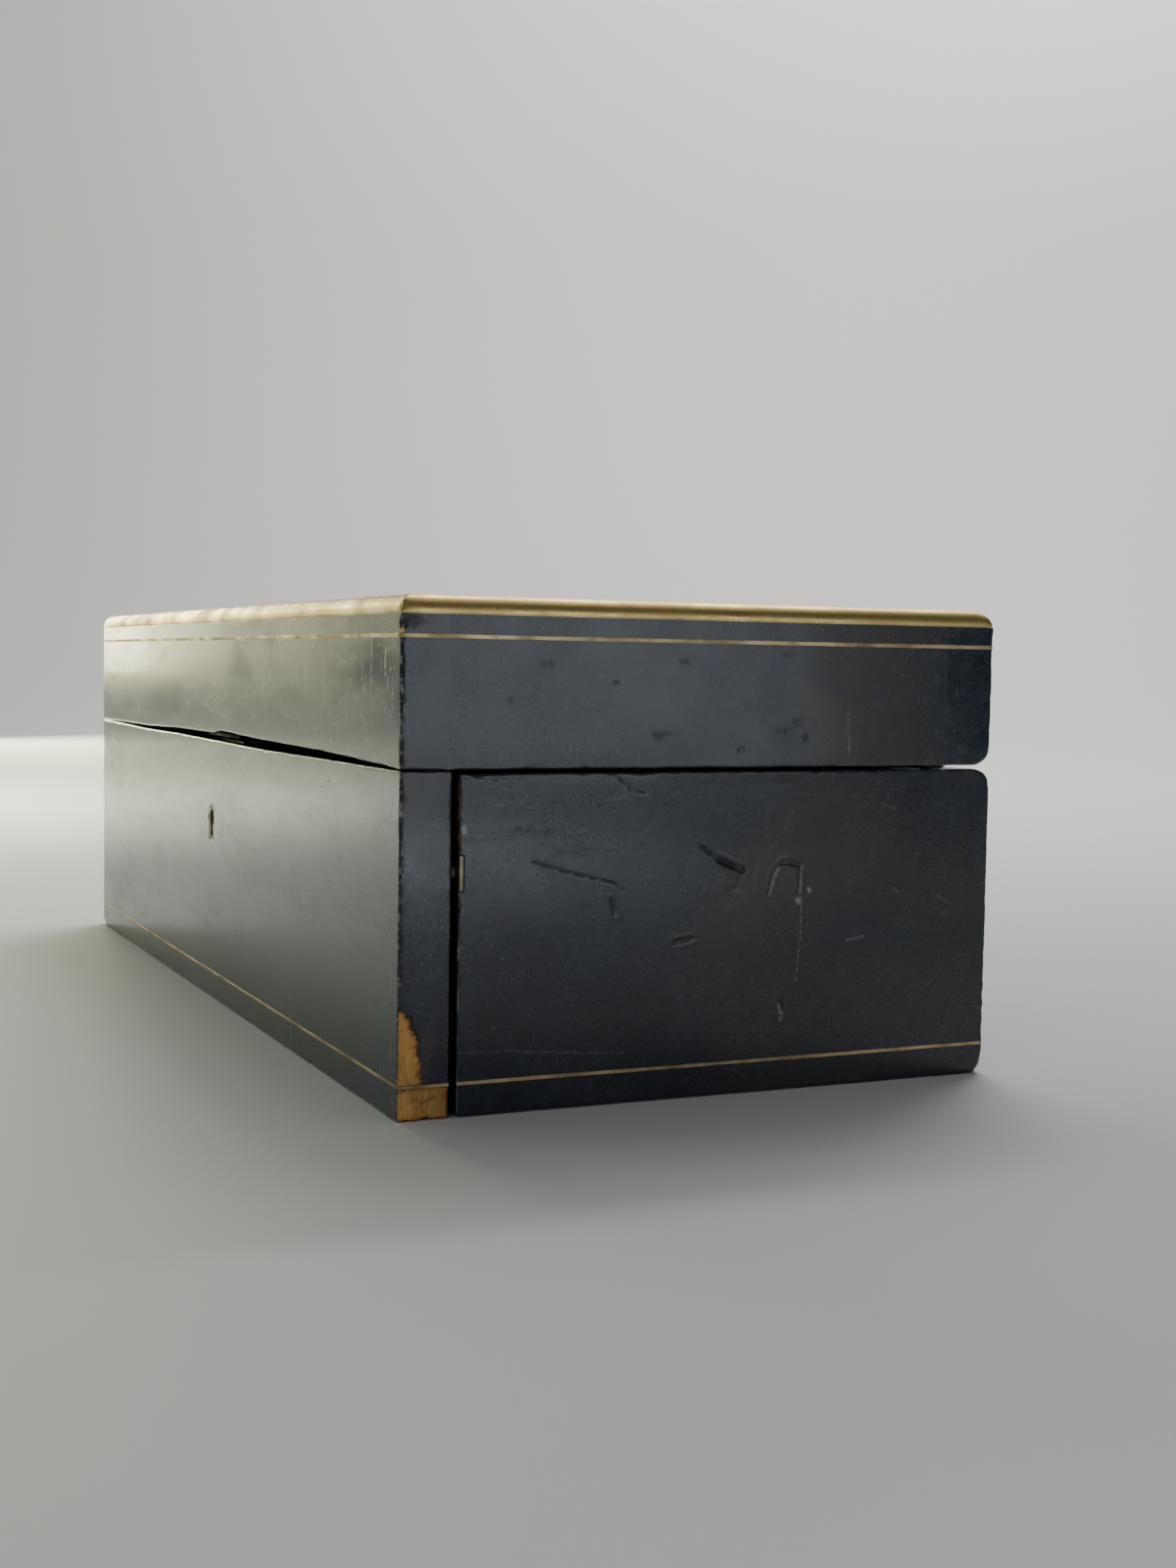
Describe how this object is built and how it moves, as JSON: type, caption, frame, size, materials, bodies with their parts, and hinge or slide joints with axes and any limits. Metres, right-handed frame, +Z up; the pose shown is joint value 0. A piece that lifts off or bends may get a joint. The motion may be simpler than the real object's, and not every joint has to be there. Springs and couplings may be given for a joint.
{
  "type": "key-wind cylinder musical box",
  "caption": "Long black-lacquered wooden musical box with a brass-moulded hinged lid, a keyhole in front and a door at one end; a wound spring turns a pinned cylinder that plucks a steel comb.",
  "frame": {"origin": "centre of the box's footprint, on the surface it stands on", "axes": "+X along the length to the end with the flap, -Y out of the front with the keyhole, +Z up"},
  "size_m": [0.4, 0.18, 0.135],
  "materials": {
    "ebonised_wood": "French-polished black ebonised veneer over walnut, glossy, worn at the arrises",
    "bare_wood": "oiled unpolished walnut",
    "brass": "aged olive-gold brass, satin",
    "steel": "fine-ground tempered steel",
    "blued_steel": "blued spring steel",
    "cast_brass": "cast brass, as-planed",
    "card": null
  },
  "bodies": {
    "case": {"base_front_board": "ebonised_wood", "base_back_board": "ebonised_wood", "base_left_board": "ebonised_wood", "base_bottom_board": "bare_wood", "partition": "bare_wood", "lid_hinge_left_base_leaf": "brass", "lid_hinge_right_base_leaf": "brass", "flap_hinge_lower_base_leaf": "brass", "flap_hinge_upper_base_leaf": "brass", "lock_body": "steel", "keyhole_escutcheon": "brass", "bedplate": "cast_brass", "cylinder_bearing_left": "cast_brass", "centre_bridge": "cast_brass", "barrel_bearing": "cast_brass", "governor_frame": "brass", "governor_cock": "brass", "comb_base": "cast_brass", "comb": "steel", "click_spring": "steel"},
    "lid": {"lid_front_rail": "ebonised_wood", "lid_back_rail": "ebonised_wood", "lid_left_rail": "ebonised_wood", "lid_right_rail": "ebonised_wood", "lid_top_panel": "ebonised_wood", "lid_moulding_front": "brass", "lid_moulding_back": "brass", "lid_moulding_left": "brass", "lid_moulding_right": "brass", "lid_hinge_left_lid_leaf": "brass", "lid_hinge_right_lid_leaf": "brass", "lid_link_plate": "steel", "tune_card": "card"},
    "flap": {"end_flap": "ebonised_wood", "flap_hinge_lower_flap_leaf": "brass", "flap_hinge_upper_flap_leaf": "brass", "flap_catch": "brass"},
    "bolt": {"lock_bolt": "steel"},
    "winding": {"winding_arbor": "steel", "ratchet_wheel": "steel", "winding_key": "brass"},
    "ratchet_click": {"click": "steel"},
    "cylinder_train": {"cylinder_arbor": "steel", "great_wheel": "brass", "cylinder_pinion": "steel"},
    "pinned_cylinder": {"cylinder": "brass"},
    "snail": {"change_snail": "steel"},
    "barrel": {"barrel_drum": "brass", "barrel_cover": "brass", "mainspring": "blued_steel"},
    "first_arbor": {"governor_first_arbor": "brass"},
    "second_arbor": {"governor_second_arbor": "brass"},
    "fly": {"governor_fly": "steel"},
    "start_rod": {"start_stop_rod": "steel"},
    "change_lever_body": {"change_lever": "steel"},
    "stop_lever_body": {"instant_stop_lever": "steel"}
  },
  "joints": [
    {"name": "lid_hinge", "type": "hinge", "parent": "case", "child": "lid", "pos_m": [0, 0.0886, 0.0909], "axis": [-1, 0, 0], "range_deg": [0, 90]},
    {"name": "flap_hinge", "type": "hinge", "parent": "case", "child": "flap", "pos_m": [0.18815, 0.0879, 0.045], "axis": [0, 0, 1], "range_deg": [0, 100]},
    {"name": "lock_slide", "type": "slide", "parent": "case", "child": "bolt", "axis": [1, 0, 0], "range_m": [0, 0.004]},
    {"name": "winding_turn", "type": "hinge", "parent": "case", "child": "winding", "pos_m": [0.114, 0.036, 0.048], "axis": [1, 0, 0], "range_deg": [0, 1350], "deforming": ["mainspring"]},
    {"name": "click_lift", "type": "hinge", "parent": "case", "child": "ratchet_click", "pos_m": [0.119, 0.022, 0.0585], "axis": [-1, 0, 0], "range_deg": [0, 12], "deforming": ["click_spring"]},
    {"name": "cylinder_spin", "type": "hinge", "parent": "case", "child": "cylinder_train", "pos_m": [0, 0.004, 0.048], "axis": [1, 0, 0], "continuous": true},
    {"name": "snail_turn", "type": "hinge", "parent": "cylinder_train", "child": "snail", "pos_m": [-0.116, 0.004, 0.063], "axis": [1, 0, 0], "range_deg": [0, 300]},
    {"name": "cylinder_shift", "type": "slide", "parent": "cylinder_train", "child": "pinned_cylinder", "axis": [1, 0, 0], "range_m": [0, 0.0016]},
    {"name": "barrel_spin", "type": "hinge", "parent": "case", "child": "barrel", "pos_m": [0.08, 0.036, 0.048], "axis": [1, 0, 0], "continuous": true},
    {"name": "first_arbor_spin", "type": "hinge", "parent": "case", "child": "first_arbor", "pos_m": [-0.139, 0.0324, 0.0404], "axis": [1, 0, 0], "continuous": true},
    {"name": "second_arbor_spin", "type": "hinge", "parent": "case", "child": "second_arbor", "pos_m": [-0.15, 0.0465, 0.0455], "axis": [1, 0, 0], "continuous": true},
    {"name": "fly_spin", "type": "hinge", "parent": "case", "child": "fly", "pos_m": [-0.15, 0.056, 0.06], "axis": [0, 0, 1], "continuous": true},
    {"name": "start_stop_slide", "type": "slide", "parent": "case", "child": "start_rod", "axis": [1, 0, 0], "range_m": [0, 0.005]},
    {"name": "change_lever_turn", "type": "hinge", "parent": "case", "child": "change_lever_body", "pos_m": [0.138, -0.04, 0.031], "axis": [0, 0, 1], "range_deg": [-8, 8]},
    {"name": "stop_lever_turn", "type": "hinge", "parent": "case", "child": "stop_lever_body", "pos_m": [0.138, -0.014, 0.031], "axis": [0, 0, 1], "range_deg": [-8, 8]}
  ],
  "couplings": [
    {"joint": "barrel_spin", "follows": "cylinder_spin", "ratio": -0.25},
    {"joint": "first_arbor_spin", "follows": "cylinder_spin", "ratio": -6},
    {"joint": "second_arbor_spin", "follows": "cylinder_spin", "ratio": 30},
    {"joint": "fly_spin", "follows": "cylinder_spin", "ratio": -360},
    {"joint": "snail_turn", "follows": "cylinder_shift", "rad_per_m": 3272.5}
  ]
}
